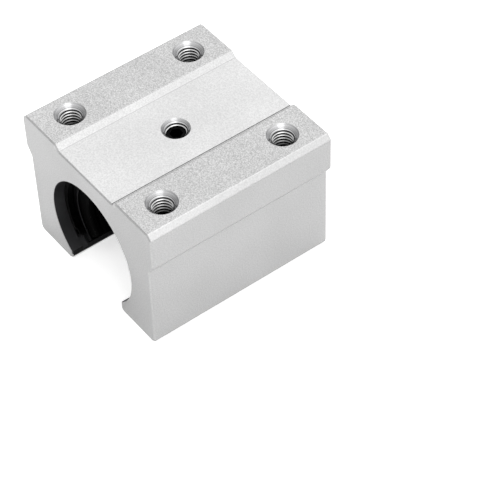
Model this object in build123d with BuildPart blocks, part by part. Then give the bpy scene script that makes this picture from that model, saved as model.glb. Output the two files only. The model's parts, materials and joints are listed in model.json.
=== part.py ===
from build123d import *
from math import acos, asin, copysign, cos, degrees, pi, radians, sin, tan
import os

os.makedirs("parts", exist_ok=True)

# Open linear bearing block for a 16 mm shaft. X is across the block, Y along the shaft and Z up.
# The origin is on the shaft's axis at mid-length. The end at -Y is the front.

# Block
block_width = 45.0
block_length = 45.0
axis_to_top = 20.0
axis_to_feet = 13.0
flange_thickness = 9.0
flange_overhang = 1.5
flange_slope_drop = 2.2
top_chamfer = 1.2
flange_round = 0.5
foot_outer_round = 1.2
foot_inner_round = 1.0
end_edge_break = 0.3
recess_depth = 1.2
recess_floor_width = 18.6
recess_top_width = 21.2

# Tapped holes, M5, drawn at the outside diameter of the thread
thread_radius = 2.5
tap_drill_radius = 2.1
drill_point_angle = 118.0
hole_spacing_x = 32.0
hole_spacing_y = 30.0
thread_depth = 12.0
tap_drill_depth = 13.5
corner_countersink_radius = 3.4
middle_countersink_radius = 3.1

# Shaft, bearing and balls
shaft_radius = 8.0
bearing_radius = 14.0
bearing_length = 37.0
opening_half_angle = 40.0
ball_radius = 3.175 / 2
ball_gap = 0.175
balls_in_turn = 3
return_groove_wall = 0.86
upper_track_web = 1.1
lower_track_web = 2.65
seat_clearance = 0.02
housing_seat_clearance = 0.06
running_clearance = 0.0125
track_clearance = 0.1
groove_clearance = 0.15

# Retainer, seals and end rings
retainer_bore_clearance = 0.25
retainer_mouth_chamfer = 0.5
retainer_clearance = 0.1
retainer_cut_angle = 0.3
retainer_end_play = 0.15
least_turn_wall = 1.1
end_wall = 1.2
end_gap = 0.05
end_ring_thickness = 0.6
end_ring_width = 1.56
end_ring_chamfer = 0.15
end_ring_cut_angle = 1.0
seal_thickness = 1.6
seal_hub_step = 0.15
seal_lip_clearance = 0.05
seal_lip_round = 0.7
seal_lip_length = 0.7
seal_undercut = 0.85
seal_cut_angle = 2.5

# Retaining rings and their grooves
circlip_thickness = 1.2
circlip_width = 1.7
circlip_groove_depth = 0.7
circlip_outer_play = 0.1
circlip_side_play = 0.1
circlip_cut_angle = 9.0
ear_radius = 1.15
ear_hole_radius = 0.6

# Set screw
screw_length = 4.0
screw_clearance = 0.05
screw_chamfer = 0.35
point_radius = 1.6
point_length = 0.9
point_engagement = 0.6
point_clearance = 0.2
socket_across_flats = 2.5
socket_depth = 2.0

# Places worked out from the sizes above
half_width = block_width / 2
half_body = half_width - flange_overhang
half_length = block_length / 2
half_bearing = bearing_length / 2
flange_bottom = axis_to_top - flange_thickness
recess_floor = axis_to_top - recess_depth
lip_x = bearing_radius * sin(radians(opening_half_angle))
load_row_radius = shaft_radius + ball_radius + running_clearance
raceway_radius = load_row_radius + ball_radius + running_clearance
track_radius = ball_radius + track_clearance
groove_radius = ball_radius + groove_clearance
return_row_radius = bearing_radius - return_groove_wall - groove_radius
ball_pitch = 2 * ball_radius + ball_gap
turn_radius = balls_in_turn * ball_pitch / pi
retainer_bore_radius = shaft_radius + retainer_bore_clearance
retainer_radius = raceway_radius - retainer_clearance
end_bore_radius = bearing_radius - end_wall
end_part_radius = end_bore_radius - seat_clearance
end_ring_outer_face = half_bearing - end_gap
end_ring_inner_face = end_ring_outer_face - end_ring_thickness
seal_outer_face = end_ring_inner_face - end_gap
seal_inner_face = seal_outer_face - seal_thickness
seal_hub_face = seal_outer_face + seal_hub_step
seal_hub_radius = end_part_radius - end_ring_width - seat_clearance
seal_lip_radius = shaft_radius + seal_lip_clearance
seal_lip_end = seal_hub_face - seal_lip_round - seal_lip_length
half_retainer = seal_inner_face - retainer_end_play
room_for_row = 2 * (half_retainer - least_turn_wall - track_radius - turn_radius)
balls_in_row = int(room_for_row / ball_pitch)
half_row = balls_in_row * ball_pitch / 2
circlip_groove_width = circlip_thickness + circlip_side_play
circlip_groove_radius = bearing_radius + circlip_groove_depth
circlip_radius = circlip_groove_radius - circlip_outer_play
circlip_end_angle = 180 - opening_half_angle - circlip_cut_angle
ear_centre_radius = circlip_radius - circlip_width
ear_angle = circlip_end_angle - degrees(ear_radius / ear_centre_radius)
screw_radius = thread_radius - screw_clearance
screw_tip = bearing_radius - point_engagement
screw_top = screw_tip + screw_length


# Point across the block, on the XZ plane, at an angle from straight up
def at_angle(angle, radius):
    return radius * sin(radians(angle)), radius * cos(radians(angle))


# The open sector under the shaft, wider by extra_angle on each side
def opening_wedge(extra_angle=0.0):
    reach = block_width
    corner_x, corner_z = at_angle(180 - opening_half_angle - extra_angle, reach)
    with BuildPart(mode=Mode.PRIVATE) as wedge:
        with BuildSketch(Plane.XZ):
            with BuildLine():
                Polyline((0, 0), (corner_x, corner_z), (-corner_x, corner_z), close=True)
            make_face()
        extrude(amount=block_length, both=True)
    return wedge.part


# The same piece fitted the other way round, at the front end
def turned_round(piece):
    return Rot(0, 0, 180) * piece


def save(piece, name):
    piece.label = name
    export_step(piece, f"parts/{name}.step")


# Ball circuits: each return row lies nearer to the top than its load row. A web is left
# between the two upper return tracks, and beside the lower load tracks at the opening.
row_angle_step = degrees(
    acos(
        (load_row_radius**2 + return_row_radius**2 - (2 * turn_radius) ** 2)
        / (2 * load_row_radius * return_row_radius)
    )
)
upper_return_angle = degrees(asin((track_radius + upper_track_web / 2) / return_row_radius))
upper_load_angle = upper_return_angle + row_angle_step
lower_load_angle = 180 - opening_half_angle - degrees((track_radius + lower_track_web) / load_row_radius)
load_angles = (-lower_load_angle, -upper_load_angle, upper_load_angle, lower_load_angle)
return_angles = [angle - copysign(row_angle_step, angle) for angle in load_angles]


# Plane of one circuit: X runs from load row to return row and Y is along the shaft
def circuit_plane(load_angle, return_angle, y=0.0):
    load_x, load_z = at_angle(load_angle, load_row_radius)
    return_x, return_z = at_angle(return_angle, return_row_radius)
    across_x = (return_x - load_x) / (2 * turn_radius)
    across_z = (return_z - load_z) / (2 * turn_radius)
    return Plane(
        origin=((load_x + return_x) / 2, y, (load_z + return_z) / 2),
        x_dir=(across_x, 0, across_z),
        z_dir=(-across_z, 0, across_x),
    )


circuits = list(zip(load_angles, return_angles))

# Half-round turn of a ball track, drawn around the origin toward +Y
with BuildPart() as turn:
    with BuildSketch(Plane.XZ):
        with Locations((-turn_radius, 0)):
            Circle(track_radius)
    revolve(axis=Axis((0, 0, 0), (0, 0, -1)), revolution_arc=180)
turn_places = [
    circuit_plane(load, back, end).location * Rot(0, 0, 0 if end > 0 else 180)
    for load, back in circuits
    for end in (-half_row, half_row)
]

# Housing
with BuildPart() as housing:
    with BuildSketch(Plane.XZ) as outline:
        with BuildLine():
            Polyline(
                (0, recess_floor),
                (recess_floor_width / 2, recess_floor),
                (recess_top_width / 2, axis_to_top),
                (half_width - top_chamfer, axis_to_top),
                (half_width, axis_to_top - top_chamfer),
                (half_width, flange_bottom),
                (half_body, flange_bottom - flange_slope_drop),
                (half_body, -axis_to_feet),
                (lip_x, -axis_to_feet),
                (lip_x, 0),
                (0, 0),
                close=True,
            )
        make_face()
        upper = outline.vertices().filter_by(lambda corner: corner.X > lip_x and corner.Y > 0)
        fillet(upper, flange_round)
        fillet(outline.vertices().sort_by_distance((half_body, -axis_to_feet))[0], foot_outer_round)
        fillet(outline.vertices().sort_by_distance((lip_x, -axis_to_feet))[0], foot_inner_round)
        mirror(about=Plane.YZ)
        Circle(bearing_radius, mode=Mode.SUBTRACT)
    extrude(amount=half_length, both=True)
    for end_face in (housing.faces().sort_by(Axis.Y)[0], housing.faces().sort_by(Axis.Y)[-1]):
        rim = end_face.outer_wire().edges()
        chamfer(
            rim.filter_by(
                lambda edge: edge.geom_type != GeomType.CIRCLE or edge.radius < shaft_radius
            ),
            end_edge_break,
        )
    with Locations(Plane.XY.offset(axis_to_top)):
        with GridLocations(hole_spacing_x, hole_spacing_y, 2, 2):
            CounterSinkHole(thread_radius, corner_countersink_radius, thread_depth, 90)
            Hole(tap_drill_radius, tap_drill_depth)
    drill_point = tap_drill_radius / tan(radians(drill_point_angle / 2))
    with Locations(Plane.XY.offset(axis_to_top - tap_drill_depth)):
        with GridLocations(hole_spacing_x, hole_spacing_y, 2, 2):
            Cone(
                0,
                tap_drill_radius,
                drill_point,
                align=(Align.CENTER, Align.CENTER, Align.MAX),
                mode=Mode.SUBTRACT,
            )
    with Locations((0, 0, recess_floor)):
        CounterSinkHole(thread_radius, middle_countersink_radius, recess_floor, 90)
    for side in (-1, 1):
        with BuildSketch(Plane.XZ.offset(side * half_bearing)):
            Circle(circlip_groove_radius)
        extrude(amount=side * circlip_groove_width, mode=Mode.SUBTRACT)
save(housing.part, "housing")

# Bearing sleeve, with raceways at the load rows and grooves for the return rows
with BuildPart() as bearing_sleeve:
    with BuildSketch(Plane.XZ):
        Circle(bearing_radius - housing_seat_clearance)
        Circle(raceway_radius, mode=Mode.SUBTRACT)
    extrude(amount=half_bearing, both=True)
    with BuildSketch(Plane.XZ):
        with Locations(*[at_angle(angle, return_row_radius) for angle in return_angles]):
            Circle(groove_radius)
    extrude(amount=half_retainer, both=True, mode=Mode.SUBTRACT)
    for side in (-1, 1):
        with BuildSketch(Plane.XZ.offset(side * half_row)):
            Circle(end_bore_radius)
        extrude(amount=side * (half_bearing - half_row), mode=Mode.SUBTRACT)
    with Locations((0, 0, screw_tip - point_clearance)):
        Cylinder(
            point_radius + point_clearance,
            bearing_radius,
            align=(Align.CENTER, Align.CENTER, Align.MIN),
            mode=Mode.SUBTRACT,
        )
    add(opening_wedge(), mode=Mode.SUBTRACT)
save(bearing_sleeve.part, "bearing_sleeve")

# Ball retainer
with BuildPart() as ball_retainer:
    with BuildSketch(Plane.XZ):
        Circle(retainer_radius)
        Circle(retainer_bore_radius, mode=Mode.SUBTRACT)
    extrude(amount=half_retainer, both=True)
    mouths = ball_retainer.edges().filter_by(
        lambda edge: edge.geom_type == GeomType.CIRCLE and edge.radius < load_row_radius
    )
    chamfer(mouths, retainer_mouth_chamfer)
    with BuildSketch(Plane.XZ):
        with Locations(*[at_angle(angle, load_row_radius) for angle in load_angles]):
            Circle(track_radius)
        with Locations(*[at_angle(angle, return_row_radius) for angle in return_angles]):
            Circle(track_radius)
    extrude(amount=half_row, both=True, mode=Mode.SUBTRACT)
    with Locations(*turn_places):
        add(turn.part, mode=Mode.SUBTRACT)
    add(opening_wedge(retainer_cut_angle), mode=Mode.SUBTRACT)
save(ball_retainer.part, "ball_retainer")

# Return rings, which close the outer side of the turns
with BuildPart() as return_ring:
    with BuildSketch(Plane.XZ.offset(-half_row - end_gap)):
        Circle(end_part_radius)
        Circle(retainer_radius + end_gap, mode=Mode.SUBTRACT)
    extrude(amount=half_row + end_gap - half_retainer)
    with Locations(*turn_places[1::2]):
        add(turn.part, mode=Mode.SUBTRACT)
    add(opening_wedge(retainer_cut_angle), mode=Mode.SUBTRACT)
save(return_ring.part, "return_ring_rear")
save(turned_round(return_ring.part), "return_ring_front")

# End seals, with a rounded lip around the shaft
with BuildPart() as end_seal:
    with BuildSketch(Plane.XY) as section:
        with BuildLine():
            Polyline(
                (end_part_radius, seal_inner_face),
                (end_part_radius, seal_outer_face),
                (seal_hub_radius, seal_outer_face),
                (seal_hub_radius, seal_hub_face),
                (seal_lip_radius, seal_hub_face),
                (seal_lip_radius, seal_lip_end),
                (seal_lip_radius + seal_undercut, seal_inner_face),
                close=True,
            )
        make_face()
        lip_corner = section.vertices().sort_by_distance((seal_lip_radius, seal_hub_face))[0]
        fillet(lip_corner, seal_lip_round)
    revolve(axis=Axis.Y)
    add(opening_wedge(seal_cut_angle), mode=Mode.SUBTRACT)
save(end_seal.part, "end_seal_rear")
save(turned_round(end_seal.part), "end_seal_front")

# End rings, which hold the seals in the sleeve
with BuildPart() as end_ring:
    with BuildSketch(Plane.XZ.offset(-end_ring_inner_face)):
        Circle(end_part_radius)
        Circle(seal_hub_radius + seat_clearance, mode=Mode.SUBTRACT)
    extrude(amount=-end_ring_thickness)
    chamfer(end_ring.faces().sort_by(Axis.Y)[-1].edges(), end_ring_chamfer)
    add(opening_wedge(end_ring_cut_angle), mode=Mode.SUBTRACT)
save(end_ring.part, "end_ring_rear")
save(turned_round(end_ring.part), "end_ring_front")

# Retaining rings, with an ear at each end for the pliers
with BuildPart() as circlip:
    with BuildSketch(Plane.XZ.offset(-half_bearing - circlip_side_play / 2)) as clip_outline:
        Circle(circlip_radius)
        Circle(circlip_radius - circlip_width, mode=Mode.SUBTRACT)
        cut_x, cut_z = at_angle(circlip_end_angle, block_width)
        with BuildLine():
            Polyline((0, 0), (cut_x, cut_z), (-cut_x, cut_z), close=True)
        make_face(mode=Mode.SUBTRACT)
        for angle in (-ear_angle, ear_angle):
            with Locations(at_angle(angle, ear_centre_radius)):
                Circle(ear_radius)
        for angle in (-ear_angle, ear_angle):
            with Locations(at_angle(angle, ear_centre_radius)):
                Circle(ear_hole_radius, mode=Mode.SUBTRACT)
    extrude(amount=-circlip_thickness)
save(circlip.part, "circlip_rear")
save(turned_round(circlip.part), "circlip_front")

# Set screw, without its thread
with BuildPart() as set_screw:
    with Locations((0, 0, screw_tip)):
        Cylinder(point_radius, screw_length, align=(Align.CENTER, Align.CENTER, Align.MIN))
    with BuildSketch(Plane.XY.offset(screw_tip + point_length)):
        Circle(screw_radius)
    extrude(amount=screw_length - point_length)
    chamfer(
        set_screw.edges().filter_by(
            lambda edge: edge.geom_type == GeomType.CIRCLE and edge.radius > point_radius + 0.1
        ),
        screw_chamfer,
    )
    with BuildSketch(Plane.XY.offset(screw_top)):
        RegularPolygon(socket_across_flats / 2, 6, major_radius=False)
    extrude(amount=-socket_depth, mode=Mode.SUBTRACT)
save(set_screw.part, "set_screw")

# Balls, one node for each row and each turn
turn_step = 180 / balls_in_turn
for number, (load_angle, return_angle) in enumerate(circuits, start=1):
    for row, across in (("load", -turn_radius), ("return", turn_radius)):
        with BuildPart() as row_balls:
            with Locations(circuit_plane(load_angle, return_angle)):
                with Locations((across, 0, 0)):
                    with GridLocations(1, ball_pitch, 1, balls_in_row):
                        Sphere(ball_radius)
        save(row_balls.part, f"{row}_balls_{number}")
    for place, end, first in (("front", -half_row, 180), ("rear", half_row, 0)):
        with BuildPart() as turn_balls:
            with Locations(circuit_plane(load_angle, return_angle, end)):
                with PolarLocations(turn_radius, balls_in_turn, first + turn_step / 2, 180):
                    Sphere(ball_radius)
        save(turn_balls.part, f"turn_balls_{place}_{number}")
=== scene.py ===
# Looks for an open linear bearing block: aluminium housing, ball bearing for a 16 mm shaft
import bpy
import json
import math
from mathutils import Matrix, Vector


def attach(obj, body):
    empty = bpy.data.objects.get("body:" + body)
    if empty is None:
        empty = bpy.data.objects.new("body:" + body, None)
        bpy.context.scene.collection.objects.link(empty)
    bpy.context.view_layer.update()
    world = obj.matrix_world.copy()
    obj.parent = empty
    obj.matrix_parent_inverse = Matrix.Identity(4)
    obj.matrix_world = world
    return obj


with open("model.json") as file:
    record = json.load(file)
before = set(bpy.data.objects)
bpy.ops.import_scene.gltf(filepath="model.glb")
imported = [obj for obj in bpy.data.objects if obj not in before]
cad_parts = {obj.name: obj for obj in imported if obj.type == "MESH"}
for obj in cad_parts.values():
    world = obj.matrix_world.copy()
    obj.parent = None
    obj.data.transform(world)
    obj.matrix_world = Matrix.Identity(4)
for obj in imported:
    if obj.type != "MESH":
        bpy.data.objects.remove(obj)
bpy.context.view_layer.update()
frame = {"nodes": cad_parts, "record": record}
nodes = frame["nodes"]
mm = 0.001
print("frame loaded:", len(nodes), "nodes")


# sRGB hex to the linear colour a node wants
def hexColour(text):
    channels = [int(text[i:i + 2], 16) / 255 for i in (1, 3, 5)]
    linear = [c / 12.92 if c <= 0.04045 else ((c + 0.055) / 1.055) ** 2.4 for c in channels]
    return (*linear, 1.0)


# One node of a material or world, with its settings, input values, links and colour stops
def addNode(owner, kind, settings=None, inputs=None, links=None, stops=()):
    node = owner.node_tree.nodes.new(kind)
    for name, value in (settings or {}).items():
        setattr(node, name, value)
    for name, value in (inputs or {}).items():
        node.inputs[name].default_value = value
    for name, source in (links or {}).items():
        owner.node_tree.links.new(source, node.inputs[name])
    for number, (position, colour) in enumerate(stops):
        element = node.color_ramp.elements[number]
        element.position, element.color = position, hexColour(colour)
    return node


# A new material with Object coordinates, and its shader with the constants on its sockets
def startMaterial(name, constants):
    material = bpy.data.materials.new(name)
    material.use_nodes = True
    shader = material.node_tree.nodes["Principled BSDF"]
    for socket, value in constants.items():
        shader.inputs[socket].default_value = value
    place = addNode(material, "ShaderNodeTexCoord")
    return material, shader, place.outputs["Object"]


def link(owner, source, target):
    owner.node_tree.links.new(source, target)


def frequencyOf(sizeMm):
    return 1 / (sizeMm * mm)


# Extruded aluminium, milled, glass-bead blasted and clear anodised: an even grey satin
# whose sheen is broken by the grit. The grit is about 0.1 mm and is drawn at 0.24 mm to show.
# What was cut after blasting looks different: chamfers are painted brighter, a painted highlight,
# turned countersinks and threads are smoother, so that they mirror dark and light, and the bearing's
# seat and the slot are painted dark as painted shade, as are the thread roots and the holes' depths.
aluminium = {
    "padGritMm": 0.24,
    "plainGritMm": 0.3,
    "gritDetail": 2.0,
    "gritStops": (0.32, 0.68),
    "cloudMm": 14.0,
    "cloudDetail": 1.0,
    "cloudStops": (0.3, 0.7),
    "cloudDepth": 0.07,
    "turningMm": 0.16,
    "turningDetail": 1.0,
    "roughness": 0.45,
    "turnedRoughness": 0.24,
    "bumpMm": 0.05,
    "padBump": 0.25,
    "plainBump": 0.08,
    "plain": ("#C8C8C8", "#D8D8D8"),
}

# Holes of the housing in millimetres. A thread's land is the height at which the
# countersink's cone would meet the hole's axis.
holes = {
    "x": 16.0,
    "y": 15.0,
    "wallReach": 2.52,
    "landTrim": 0.03,
    # radii over which the painted shade in the thread roots fades in
    "rootShadeFade": (2.17, 2.34),
    # heights over which the painted shade deep in the holes fades in
    "depthShadeFade": (18.6, 15.0),
    "cornerTop": 19.5,
    "cornerTurns": 14,
    "cornerLand": 16.6,
    "cornerFloor": 8.1,
    "cornerSinkReach": 3.42,
    "cornerSinkTop": 19.97,
    "middleTop": 18.6,
    "middleTurns": 2,
    "middleLand": 15.7,
    "middleFloor": 10.0,
    "middleSinkReach": 3.12,
    "middleSinkTop": 18.77,
}

# Edges between the housing's surfaces in millimetres, each just past the one that part.py draws
edges = {
    "underPads": 19.9,
    "chamferSum": 41.24,  # height and distance from the middle together
    "underRecess": 18.75,
    "overRecess": 18.85,
    "recessSide": 9.3,
    "slopeSide": 10.7,
    "overLines": 18.95,
    "leftFootShadeHalf": 0.09,
    "rightFootShadeHalf": 0.12,
    "seatRadius": 14.75,
    "seatEnd": 22.4,
    "slotSide": 9.01,
    "slotTop": -10.6,
}

# The housing's surfaces by their place. Each zone lies over the ones before it.
# "over" and "under" bound a measure, and a fade runs from nothing to the full colour.
lineHeights = [("height", "over", edges["underRecess"]), ("height", "under", edges["overLines"])]
cornerThread = [
    ("fromCorner", "under", holes["wallReach"]),
    ("belowCorner", "under", holes["cornerLand"] - holes["landTrim"]),
    ("height", "over", holes["cornerFloor"])]
middleThread = [
    ("fromMiddle", "under", holes["wallReach"]),
    ("belowMiddle", "under", holes["middleLand"] - holes["landTrim"]),
    ("height", "over", holes["middleFloor"])]
zones = {
    "pads": {
        "where": [("height", "over", edges["underPads"])],
        "pattern": "padGrit", "colours": ("#AEAEAE", "#E0E0E0")},
    # the chamfers along the top edges are painted brighter than the blasted faces: a painted highlight
    "chamferHighlights": {
        "where": [("upAndOut", "over", edges["chamferSum"])],
        "pattern": "plainGrit", "colours": ("#D8D8D8", "#E8E8E8")},
    "recess": {
        "where": [("height", "over", edges["underRecess"]), ("height", "under", edges["overRecess"]),
                  ("sideways", "under", edges["recessSide"])],
        "pattern": "plainGrit", "colours": ("#D2D2D2", "#E6E6E6")},
    "slopes": {
        "where": [("height", "over", edges["overRecess"]), ("height", "under", edges["underPads"]),
                  ("sideways", "under", edges["slopeSide"])],
        "pattern": "plainGrit", "colours": ("#D4D4D4", "#E8E8E8")},
    # thin lines along the feet of the two slopes are painted shade: the right one, on the slope facing away from
    # the light, is painted much darker
    "leftFootShade": {
        "where": [("fromLeftLine", "under", edges["leftFootShadeHalf"])] + lineHeights, "colours": ("#C4C4C4",)},
    "rightFootShade": {
        "where": [("fromLine", "under", edges["rightFootShadeHalf"])] + lineHeights, "colours": ("#565658",)},
    # the bearing's seat in the bore is painted dark grey: painted shade
    "bearingSeatShade": {
        "where": [("fromShaft", "under", edges["seatRadius"]), ("along", "under", edges["seatEnd"])],
        "colours": ("#5A5A5C",)},
    # the slot's inner walls under the lips are painted near black: painted shade
    "slotWallShade": {
        "where": [("sideways", "under", edges["slotSide"]), ("height", "under", edges["slotTop"])],
        "colours": ("#262627",)},
    "cornerSinks": {
        "where": [("fromCorner", "under", holes["cornerSinkReach"]), ("height", "under", holes["cornerSinkTop"]),
                  ("height", "over", holes["cornerFloor"])],
        "pattern": "turning", "colours": ("#969697", "#DEDEDF")},
    "middleSink": {
        "where": [("fromMiddle", "under", holes["middleSinkReach"]), ("height", "under", holes["middleSinkTop"]),
                  ("height", "over", holes["middleFloor"])],
        "pattern": "turning", "colours": ("#969697", "#DEDEDF")},
    "cornerCrests": {"where": cornerThread, "colours": ("#E4E4E4",)},
    # the thread roots are painted darker towards the wall: painted shade in the grooves
    "cornerRootShade": {"where": cornerThread, "fade": ("fromCorner", holes["rootShadeFade"]), "colours": ("#1B1B1C",)},
    # the corner holes are painted near black further down: painted shade deep in the holes
    "cornerDepthShade": {"where": cornerThread, "fade": ("height", holes["depthShadeFade"]), "colours": ("#030303",)},
    "middleCrests": {"where": middleThread, "colours": ("#E4E4E4",)},
    # the same painted shade in the middle hole's thread roots
    "middleRootShade": {"where": middleThread, "fade": ("fromMiddle", holes["rootShadeFade"]), "colours": ("#1B1B1C",)},
}


def makeBlastedAluminium():
    material, shader, place = startMaterial("blasted anodised aluminium", {"Metallic": 1.0})
    axes = addNode(material, "ShaderNodeSeparateXYZ", None, None, {"Vector": place})
    measures = {"right": axes.outputs["X"], "deep": axes.outputs["Y"], "height": axes.outputs["Z"]}
    # the measures that the zones are bounded by, each from ones before it
    for name, operation, first, second in (
            ("sideways", "ABSOLUTE", "right", 0),
            ("along", "ABSOLUTE", "deep", 0),
            ("pastHoleX", "SUBTRACT", "sideways", holes["x"]),
            ("pastHoleY", "SUBTRACT", "along", holes["y"]),
            ("pastLine", "SUBTRACT", "right", edges["recessSide"]),
            ("fromLine", "ABSOLUTE", "pastLine", 0),
            ("pastLeftLine", "ADD", "right", edges["recessSide"]),
            ("fromLeftLine", "ABSOLUTE", "pastLeftLine", 0)):
        made = addNode(material, "ShaderNodeMath", {"operation": operation},
                       {1: second * mm}, {0: measures[first]})
        measures[name] = made.outputs[0]
    for name, across, along in (
            ("fromCorner", "pastHoleX", "pastHoleY"),
            ("fromMiddle", "right", "deep"),
            ("fromShaft", "right", "height")):
        flat = addNode(material, "ShaderNodeCombineXYZ", None, None,
                       {"X": measures[across], "Y": measures[along]})
        made = addNode(material, "ShaderNodeVectorMath", {"operation": "LENGTH"}, None, {0: flat.outputs[0]})
        measures[name] = made.outputs["Value"]
    for name, operation, other in (
            ("belowCorner", "SUBTRACT", "fromCorner"),
            ("belowMiddle", "SUBTRACT", "fromMiddle"),
            ("upAndOut", "ADD", "sideways")):
        made = addNode(material, "ShaderNodeMath", {"operation": operation}, None,
                       {0: measures["height"], 1: measures[other]})
        measures[name] = made.outputs[0]

    patterns = {}
    for name, sizeMm, detail in (
            ("padGrit", aluminium["padGritMm"], aluminium["gritDetail"]),
            ("plainGrit", aluminium["plainGritMm"], aluminium["gritDetail"]),
            ("cloud", aluminium["cloudMm"], aluminium["cloudDetail"])):
        noise = addNode(material, "ShaderNodeTexNoise", None,
                        {"Scale": frequencyOf(sizeMm), "Detail": detail}, {"Vector": place})
        patterns[name] = noise.outputs["Fac"]
    # turning marks run round each hole's axis
    nearest = addNode(material, "ShaderNodeMath", {"operation": "MINIMUM"}, None,
                      {0: measures["fromCorner"], 1: measures["fromMiddle"]})
    turning = addNode(material, "ShaderNodeTexNoise", {"noise_dimensions": "1D"},
                      {"Scale": frequencyOf(aluminium["turningMm"]), "Detail": aluminium["turningDetail"]},
                      {"W": nearest.outputs[0]})
    patterns["turning"] = turning.outputs["Fac"]

    plain = addNode(material, "ShaderNodeValToRGB", None, None, {"Fac": patterns["plainGrit"]},
                    zip(aluminium["gritStops"], aluminium["plain"]))
    colour, masks = plain.outputs["Color"], {}
    for zoneName, zone in zones.items():
        mask = None
        for measure, side, limit in zone["where"]:
            comparison = "GREATER_THAN" if side == "over" else "LESS_THAN"
            test = addNode(material, "ShaderNodeMath", {"operation": comparison},
                           {1: limit * mm}, {0: measures[measure]}).outputs[0]
            mask = test if mask is None else addNode(
                material, "ShaderNodeMath", {"operation": "MULTIPLY"}, None, {0: mask, 1: test}).outputs[0]
        if "fade" in zone:
            measure, (none, full) = zone["fade"]
            fade = addNode(material, "ShaderNodeMapRange", None,
                           {"From Min": none * mm, "From Max": full * mm}, {"Value": measures[measure]})
            mask = addNode(material, "ShaderNodeMath", {"operation": "MULTIPLY"}, None,
                           {0: mask, 1: fade.outputs["Result"]}).outputs[0]
        masks[zoneName] = mask
        over = addNode(material, "ShaderNodeMix", {"data_type": "RGBA"}, {7: hexColour(zone["colours"][0])},
                       {0: mask, 6: colour})
        if "pattern" in zone:
            ramp = addNode(material, "ShaderNodeValToRGB", None, None, {"Fac": patterns[zone["pattern"]]},
                           zip(aluminium["gritStops"], zone["colours"]))
            link(material, ramp.outputs["Color"], over.inputs[7])
        colour = over.outputs[2]

    # anodising clouds the whole block a little
    cloudLow, cloudHigh = aluminium["cloudStops"]
    cloud = addNode(material, "ShaderNodeMapRange", None, {
        "From Min": cloudLow, "From Max": cloudHigh, "To Min": 1 - aluminium["cloudDepth"]},
        {"Value": patterns["cloud"]})
    clouded = addNode(material, "ShaderNodeMix", {"data_type": "RGBA", "blend_type": "MULTIPLY"}, {0: 1.0},
                      {6: colour, 7: cloud.outputs["Result"]})
    relief = addNode(material, "ShaderNodeMath", {"operation": "MULTIPLY_ADD"},
                     {1: aluminium["padBump"], 2: aluminium["plainBump"]}, {0: masks["pads"]})
    bump = addNode(material, "ShaderNodeBump", None, {"Distance": aluminium["bumpMm"] * mm},
                   {"Height": patterns["padGrit"], "Strength": relief.outputs[0]})
    turned = addNode(material, "ShaderNodeMath", {"operation": "MAXIMUM"}, None,
                     {0: masks["cornerSinks"], 1: masks["middleSink"]})
    satin = addNode(material, "ShaderNodeMapRange", None, {
        "To Min": aluminium["roughness"], "To Max": aluminium["turnedRoughness"]}, {"Value": turned.outputs[0]})
    link(material, clouded.outputs[2], shader.inputs["Base Color"])
    link(material, bump.outputs["Normal"], shader.inputs["Normal"])
    link(material, satin.outputs["Result"], shader.inputs["Roughness"])
    return material


# Hardened and spring steel with a black oxide: nearly black, a little oily sheen
blackSteel = {
    "patchMm": 1.6, "detail": 4.0, "stops": ((0.3, "#070707"), (0.7, "#121213")),
    "bumpMm": 0.02, "bumpStrength": 0.2,
    "shader": {"Metallic": 1.0, "Roughness": 0.45},
}
# Injection-moulded acetal: black and smooth, with a dull shine in the shade of the bore
acetal = {
    "patchMm": 6.0, "detail": 2.0, "stops": ((0.3, "#020202"), (0.7, "#050505")),
    "shader": {"Roughness": 0.4, "IOR": 1.48, "Specular IOR Level": 0.02},
}
# Rolled steel strip, pressed into rings: dark, with fine rolling marks
rolledSteel = {
    "patchMm": 0.5, "detail": 3.0, "stops": ((0.3, "#161617"), (0.7, "#2A2A2B")),
    "shader": {"Metallic": 1.0, "Roughness": 0.3},
}
# Chrome steel balls, lapped: mirror bright, with a faint film of oil
ballSteel = {
    "patchMm": 1.2, "detail": 2.0, "stops": ((0.3, "#C4C4C6"), (0.7, "#DEDEE0")),
    "shader": {"Metallic": 1.0, "Roughness": 0.08},
}
# Nitrile rubber, moulded: matte black with a few specks of dust, one to each cell
rubber = {
    "speckEveryMm": 1.05, "stops": ((0.05, "#2C2C2B"), (0.12, "#040404")),
    "shader": {"Roughness": 0.5, "IOR": 1.52, "Specular IOR Level": 0.02},
}


# A material whose colour changes in soft patches
def makePatched(name, look):
    material, shader, place = startMaterial(name, look["shader"])
    patch = addNode(material, "ShaderNodeTexNoise", None,
                    {"Scale": frequencyOf(look["patchMm"]), "Detail": look["detail"]}, {"Vector": place})
    colour = addNode(material, "ShaderNodeValToRGB", None, None, {"Fac": patch.outputs["Fac"]}, look["stops"])
    link(material, colour.outputs["Color"], shader.inputs["Base Color"])
    if "bumpMm" in look:
        bump = addNode(material, "ShaderNodeBump", None,
                       {"Distance": look["bumpMm"] * mm, "Strength": look["bumpStrength"]},
                       {"Height": patch.outputs["Fac"]})
        link(material, bump.outputs["Normal"], shader.inputs["Normal"])
    return material


def makeRubber():
    material, shader, place = startMaterial("nitrile rubber", rubber["shader"])
    speck = addNode(material, "ShaderNodeTexVoronoi", None,
                    {"Scale": frequencyOf(rubber["speckEveryMm"])}, {"Vector": place})
    colour = addNode(material, "ShaderNodeValToRGB", None, None, {"Fac": speck.outputs["Distance"]},
                     rubber["stops"])
    link(material, colour.outputs["Color"], shader.inputs["Base Color"])
    return material


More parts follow.
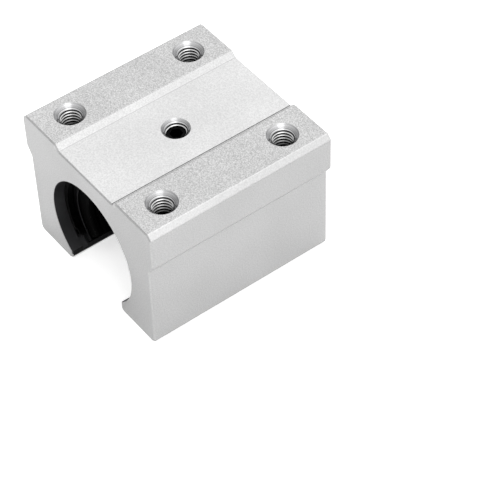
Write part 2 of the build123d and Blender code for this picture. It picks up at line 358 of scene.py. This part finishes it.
blackOxide = makePatched("black oxide steel", blackSteel)
finishes = {
    "housing": makeBlastedAluminium(),
    "blackened_steel": blackOxide,
    "bearing_steel": blackOxide,
    "cage": makePatched("moulded acetal", acetal),
    "seal": makeRubber(),
    "ring_steel": makePatched("rolled steel", rolledSteel),
    "balls": makePatched("lapped ball steel", ballSteel),
}
for part in frame["record"]["subparts"]:
    piece = nodes[part["node"]]
    piece.data.materials.clear()
    piece.data.materials.append(finishes[part["material_slot"]])
print("materials on", len(nodes), "nodes")


# Threads of the tapped holes, in millimetres: a helical ridge on the wall that part.py draws
# at the thread's outside diameter
threads = {
    "wallRadius": 2.5,
    "crestRadius": 2.1,
    "pitch": 0.8,
    "crestWidth": 0.1,
    "rootWidth": 0.7,
    "stepsPerTurn": 40,
    "sunkInWall": 0.03,
    "coneInside": 0.2,
    "coneOutside": 1.2,
    "coneSides": 96,
    "smoothDegrees": 35,
}


def selectOnly(piece):
    bpy.ops.object.select_all(action="DESELECT")
    piece.select_set(True)
    bpy.context.view_layer.objects.active = piece


# A thread on the Z axis, to be copied into the holes
def modelThread(topZ, turns, land):
    radius = threads["wallRadius"] + threads["sunkInWall"]
    bpy.ops.object.select_all(action="DESELECT")
    bpy.ops.mesh.primitive_plane_add(size=1, location=(0, 0, 0))
    ridge = bpy.context.object
    # the plane's four corners become the ridge's section, in the XZ plane
    half, crest = threads["rootWidth"] / 2, threads["crestWidth"] / 2
    section = [(radius, -half), (threads["crestRadius"], -crest),
               (radius, half), (threads["crestRadius"], crest)]
    for vertex, (across, up) in zip(ridge.data.vertices, section):
        vertex.co = (across * mm, 0, up * mm)
    bpy.ops.object.mode_set(mode="EDIT")
    bpy.ops.mesh.select_all(action="SELECT")
    bpy.ops.mesh.delete(type="ONLY_FACE")
    bpy.ops.object.mode_set(mode="OBJECT")
    screw = ridge.modifiers.new("turns", "SCREW")
    screw.axis = "Z"
    screw.screw_offset = -threads["pitch"] * mm
    screw.iterations = turns
    screw.steps = screw.render_steps = threads["stepsPerTurn"]
    bpy.ops.object.modifier_apply(modifier="turns")
    bpy.ops.object.mode_set(mode="EDIT")
    bpy.ops.mesh.select_all(action="DESELECT")
    bpy.ops.mesh.select_non_manifold()
    bpy.ops.mesh.fill()
    bpy.ops.mesh.select_all(action="SELECT")
    bpy.ops.mesh.normals_make_consistent(inside=False)
    bpy.ops.transform.translate(value=(0, 0, topZ * mm))
    bpy.ops.object.mode_set(mode="OBJECT")
    # the countersink's cone cuts the first turn away
    low = threads["crestRadius"] - threads["coneInside"]
    high = threads["wallRadius"] + threads["coneOutside"]
    bpy.ops.object.select_all(action="DESELECT")
    bpy.ops.mesh.primitive_cone_add(
        vertices=threads["coneSides"], radius1=low * mm, radius2=high * mm, depth=(high - low) * mm,
        location=(0, 0, (land + (low + high) / 2) * mm))
    cone = bpy.context.object
    selectOnly(ridge)
    sink = ridge.modifiers.new("countersink", "BOOLEAN")
    sink.object, sink.operation, sink.solver = cone, "DIFFERENCE", "EXACT"
    bpy.ops.object.modifier_apply(modifier="countersink")
    bpy.data.objects.remove(cone)
    bpy.ops.object.shade_smooth_by_angle(angle=math.radians(threads["smoothDegrees"]))
    ridge.data.materials.clear()
    ridge.data.materials.append(finishes["housing"])
    return ridge


def copyThread(model, name, x, y):
    selectOnly(model)
    bpy.ops.object.duplicate()
    ridge = bpy.context.object
    ridge.name = name
    bpy.ops.object.mode_set(mode="EDIT")
    bpy.ops.mesh.select_all(action="SELECT")
    bpy.ops.transform.translate(value=(x * mm, y * mm, 0))
    bpy.ops.object.mode_set(mode="OBJECT")
    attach(ridge, "block")


cornerModel = modelThread(holes["cornerTop"], holes["cornerTurns"], holes["cornerLand"])
for sideName, side in (("left", -1), ("right", 1)):
    for endName, end in (("front", -1), ("rear", 1)):
        copyThread(cornerModel, "thread_" + sideName + "_" + endName, side * holes["x"], end * holes["y"])
middleModel = modelThread(holes["middleTop"], holes["middleTurns"], holes["middleLand"])
copyThread(middleModel, "thread_middle", 0, 0)
for model in (cornerModel, middleModel):
    bpy.data.objects.remove(model)
print("threads cut")

# Camera, as fitted to the photograph's edges, in degrees and millimetres
view = {
    "azimuth": 54.414,
    "elevation": 47.316,
    "roll": -2.331,
    "distance": 429.721,
    "right": 12.506,
    "up": -9.935,
    "focalPixels": 2048.628,
    "imagePixels": 480,
    "sensorMm": 36.0,
    "clipStart": 10.0,
}


def makeCamera():
    azimuth, elevation, roll = (math.radians(view[key]) for key in ("azimuth", "elevation", "roll"))
    back = Vector((math.sin(azimuth) * math.cos(elevation), -math.cos(azimuth) * math.cos(elevation),
                   math.sin(elevation)))
    level = Vector((math.cos(azimuth), math.sin(azimuth), 0))
    upright = back.cross(level)
    right = math.cos(roll) * level + math.sin(roll) * upright
    up = -math.sin(roll) * level + math.cos(roll) * upright
    spot = (view["distance"] * back + view["right"] * right + view["up"] * up) * mm
    camera = bpy.data.objects.new("camera", bpy.data.cameras.new("camera"))
    camera.data.sensor_width = view["sensorMm"]
    camera.data.lens = view["focalPixels"] / view["imagePixels"] * view["sensorMm"]
    camera.data.clip_start = view["clipStart"] * mm
    camera.matrix_world = Matrix((
        (right.x, up.x, back.x, spot.x),
        (right.y, up.y, back.y, spot.y),
        (right.z, up.z, back.z, spot.z),
        (0, 0, 0, 1)))
    bpy.context.scene.collection.objects.link(camera)
    bpy.context.scene.camera = camera


makeCamera()

# Studio, in millimetres: white floor and surround, and one large soft light over the right shoulder.
# The floor glows a little to the camera, so that it reads as white paper.
studio = {
    "floorZ": -13.0,
    "floorHalf": 900.0,
    "floorHex": "#EFEFEF",
    "floorRoughness": 0.9,
    "floorGlowSeen": 0.6,
    "floorGlowMirrored": 0.05,
    "horizonStrength": 0.32,
    "zenithStrength": 1.3,
    "brightAbove": 0.6,
    "dimSide": (-0.45, -0.89, 0.0),
    "dimShare": 0.62,
    "keyPower": 0.55,
    "keySize": 420.0,
    "keyPlace": (300.0, -120.0, 560.0),
}


def makeFloor():
    bpy.ops.object.select_all(action="DESELECT")
    bpy.ops.mesh.primitive_plane_add(size=2 * studio["floorHalf"] * mm, location=(0, 0, studio["floorZ"] * mm))
    floor = bpy.context.object
    floor.name = "studio_floor"
    material, shader = startMaterial("white studio paper", {
        "Base Color": hexColour(studio["floorHex"]), "Roughness": studio["floorRoughness"],
        "Emission Color": (1, 1, 1, 1)})[:2]
    rays = addNode(material, "ShaderNodeLightPath")
    mirrored = addNode(material, "ShaderNodeMath", {"operation": "MULTIPLY"},
                       {1: studio["floorGlowMirrored"]}, {0: rays.outputs["Is Glossy Ray"]})
    glow = addNode(material, "ShaderNodeMath", {"operation": "MULTIPLY_ADD"}, {1: studio["floorGlowSeen"]},
                   {0: rays.outputs["Is Camera Ray"], 2: mirrored.outputs[0]})
    link(material, glow.outputs[0], shader.inputs["Emission Strength"])
    floor.data.materials.append(material)


def makeWorld():
    world = bpy.data.worlds.new("studio")
    world.use_nodes = True
    bpy.context.scene.world = world
    background = world.node_tree.nodes["Background"]
    background.inputs["Color"].default_value = (1, 1, 1, 1)
    rays = addNode(world, "ShaderNodeLightPath")
    direction = addNode(world, "ShaderNodeTexCoord").outputs["Generated"]
    height = addNode(world, "ShaderNodeSeparateXYZ", None, None, {0: direction})
    sky = addNode(world, "ShaderNodeMapRange", None, {
        "From Max": studio["brightAbove"], "To Min": studio["horizonStrength"],
        "To Max": studio["zenithStrength"]}, {"Value": height.outputs["Z"]})
    # the studio is dimmer on the side of the block's front end
    across = addNode(world, "ShaderNodeVectorMath", {"operation": "DOT_PRODUCT"}, {1: studio["dimSide"]},
                     {0: direction})
    dimming = addNode(world, "ShaderNodeMapRange", None, {"To Min": 1.0, "To Max": studio["dimShare"]},
                      {"Value": across.outputs["Value"]})
    dimmed = addNode(world, "ShaderNodeMath", {"operation": "MULTIPLY"}, None,
                     {0: sky.outputs["Result"], 1: dimming.outputs["Result"]})
    strength = addNode(world, "ShaderNodeMix", None, {"B": 1.0},
                       {"A": dimmed.outputs[0], "Factor": rays.outputs["Is Camera Ray"]})
    link(world, strength.outputs["Result"], background.inputs["Strength"])


def makeKeyLight():
    lamp = bpy.data.objects.new("key", bpy.data.lights.new("key", "AREA"))
    lamp.data.energy = studio["keyPower"]
    lamp.data.size = studio["keySize"] * mm
    lamp.location = Vector(studio["keyPlace"]) * mm
    lamp.rotation_euler = (-lamp.location).to_track_quat("-Z", "Y").to_euler()
    bpy.context.scene.collection.objects.link(lamp)


makeFloor()
makeWorld()
makeKeyLight()
bpy.context.scene.view_settings.view_transform = "Standard"
print("studio ready")
